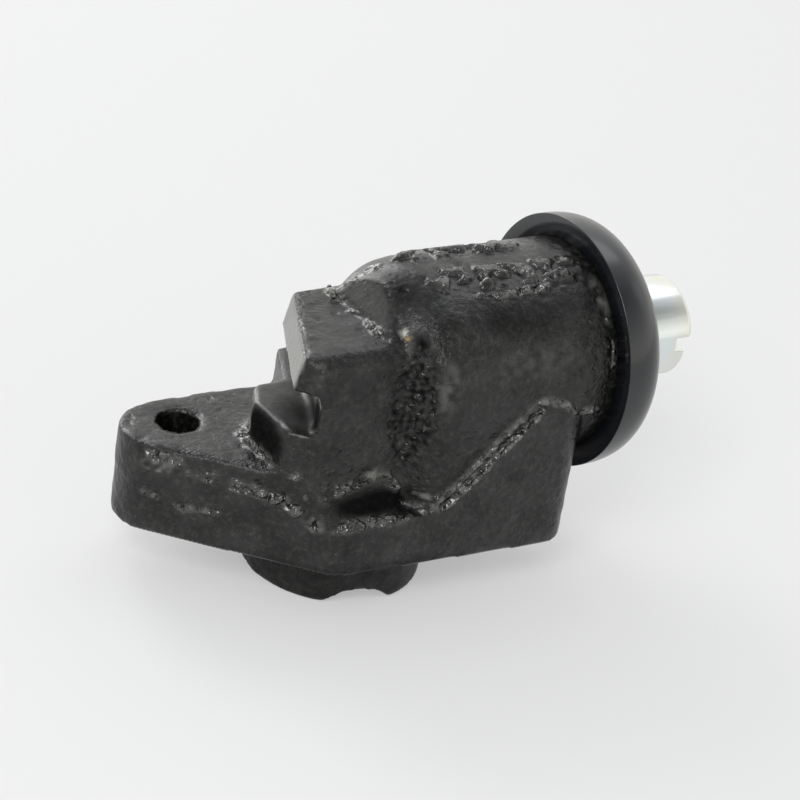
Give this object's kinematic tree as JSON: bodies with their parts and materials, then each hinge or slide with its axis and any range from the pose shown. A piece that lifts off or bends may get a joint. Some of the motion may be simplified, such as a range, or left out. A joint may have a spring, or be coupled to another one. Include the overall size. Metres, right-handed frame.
{
  "type": "wheel cylinder",
  "caption": "Hydraulic wheel cylinder for a drum brake: cast body with a blind bore, slotted piston in a rubber boot, fixed shoe abutment at the closed end, round spigot and skewed flange.",
  "frame": {"origin": "centre of the spigot, on the mounting face", "axes": "+X along the bore toward the piston, +Z away from the backplate, +Y completes the right hand"},
  "size_m": [0.0952, 0.042, 0.0554],
  "materials": {
    "casting": "rough sand casting under thick glossy black paint",
    "plated_steel": "turned steel, bright zinc plate with a faint yellow tint",
    "seal_rubber": "smooth moulded rubber",
    "plain_steel": "pressed steel",
    "spring_steel": "drawn wire",
    "boot_rubber": "satin moulded rubber"
  },
  "bodies": {
    "casting": {"body": "casting", "dust_boot": "boot_rubber", "cup_spring": "spring_steel"},
    "piston_group": {"piston": "plated_steel", "cup_seal": "seal_rubber", "cup_spreader": "plain_steel"}
  },
  "joints": [
    {"name": "piston_slide", "type": "slide", "parent": "casting", "child": "piston_group", "axis": [1, 0, 0], "range_m": [-0.004, 0.005], "deforming": ["cup_spring", "dust_boot"]}
  ]
}
